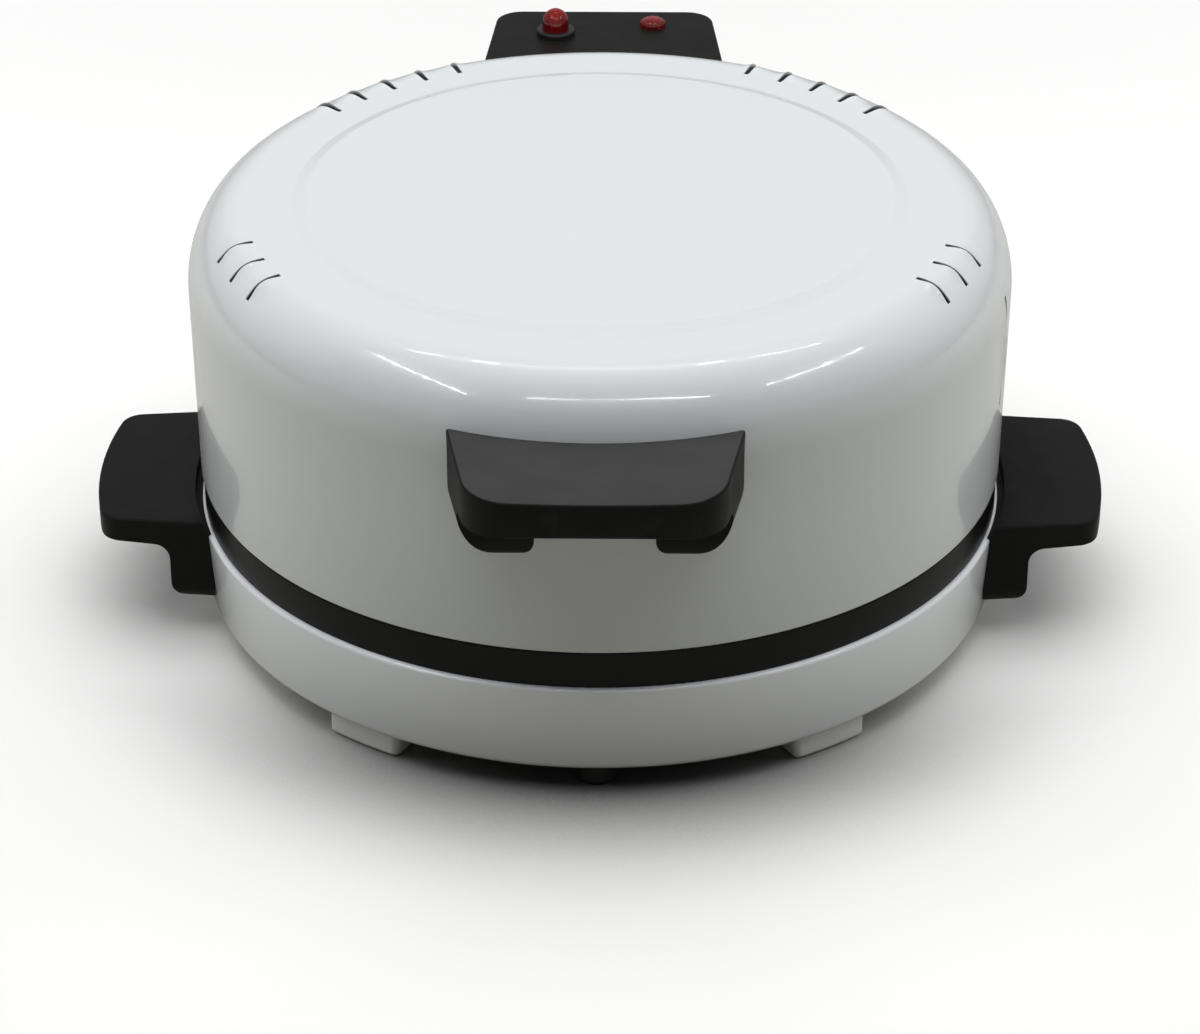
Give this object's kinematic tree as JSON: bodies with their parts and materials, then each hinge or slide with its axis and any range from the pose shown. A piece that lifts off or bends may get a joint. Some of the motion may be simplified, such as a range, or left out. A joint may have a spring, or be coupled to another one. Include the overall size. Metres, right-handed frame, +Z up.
{
  "type": "electric pizza oven",
  "caption": "Electric pizza oven: a shallow round base holds a baking plate between heating elements, under a tall round lid hinged at the back, with handles and pilot lamps.",
  "frame": {"origin": "on the surface it stands on, at the centre of the box round the whole part with the lid closed", "axes": "+X towards the right handle seen from the front, -Y towards the front handle, +Z up"},
  "size_m": [0.517, 0.508, 0.2296],
  "materials": {
    "aluminised_steel": "satin",
    "black_fittings": "satin",
    "black_plastic": "satin",
    "black_rubber": "matte",
    "brass": "satin",
    "ceramic": "matte",
    "element_sheath": "matte",
    "lead_sleeving": "matte",
    "nonstick_aluminium": "satin",
    "red_lens": "gloss",
    "thermostat_case": "satin",
    "white_enamel": "gloss",
    "white_plastic": "satin",
    "zinc_plated_steel": "satin"
  },
  "bodies": {
    "base": {"baking_plate": "nonstick_aluminium", "base_leads": "lead_sleeving", "base_shell": "white_enamel", "bottom_cover": "zinc_plated_steel", "cord_gland": "black_fittings", "cover_screws": "zinc_plated_steel", "earth_screw": "brass", "foot_screws": "zinc_plated_steel", "front_centre_foot": "black_rubber", "front_left_foot": "white_plastic", "front_right_foot": "white_plastic", "hinge_base_bracket": "zinc_plated_steel", "hinge_base_screws": "zinc_plated_steel", "hinge_lead_gland": "black_fittings", "hinge_pin": "zinc_plated_steel", "hinge_pin_clip": "zinc_plated_steel", "left_handle": "black_plastic", "left_handle_screws": "zinc_plated_steel", "lower_element": "element_sheath", "lower_element_supports": "zinc_plated_steel", "lower_reflector": "aluminised_steel", "rear_left_foot": "white_plastic", "rear_right_foot": "white_plastic", "reflector_posts": "zinc_plated_steel", "right_handle": "black_plastic", "right_handle_screws": "zinc_plated_steel", "terminal_block": "ceramic", "thermostat": "thermostat_case", "thermostat_bracket": "zinc_plated_steel"},
    "lid": {"lid_shell": "white_enamel", "lid_liner": "aluminised_steel", "upper_element": "element_sheath", "upper_element_supports": "zinc_plated_steel", "element_bushes": "ceramic", "front_handle": "black_plastic", "front_handle_screws": "zinc_plated_steel", "rear_housing": "black_plastic", "housing_screws": "zinc_plated_steel", "tall_lamp_lens": "red_lens", "tall_lamp_bezel": "black_fittings", "tall_lamp_body": "black_fittings", "low_lamp_lens": "red_lens", "low_lamp_body": "black_fittings", "lamp_nuts": "zinc_plated_steel", "hinge_lid_bracket": "zinc_plated_steel", "hinge_lid_screws": "zinc_plated_steel", "lid_lead_gland": "black_fittings", "lid_wall_grommet": "black_rubber", "lid_leads": "lead_sleeving"}
  },
  "joints": [
    {"name": "lid_hinge", "type": "hinge", "parent": "base", "child": "lid", "pos_m": [0, 0.224, 0.07], "axis": [-1, 0, 0], "range_deg": [0, 95]}
  ]
}
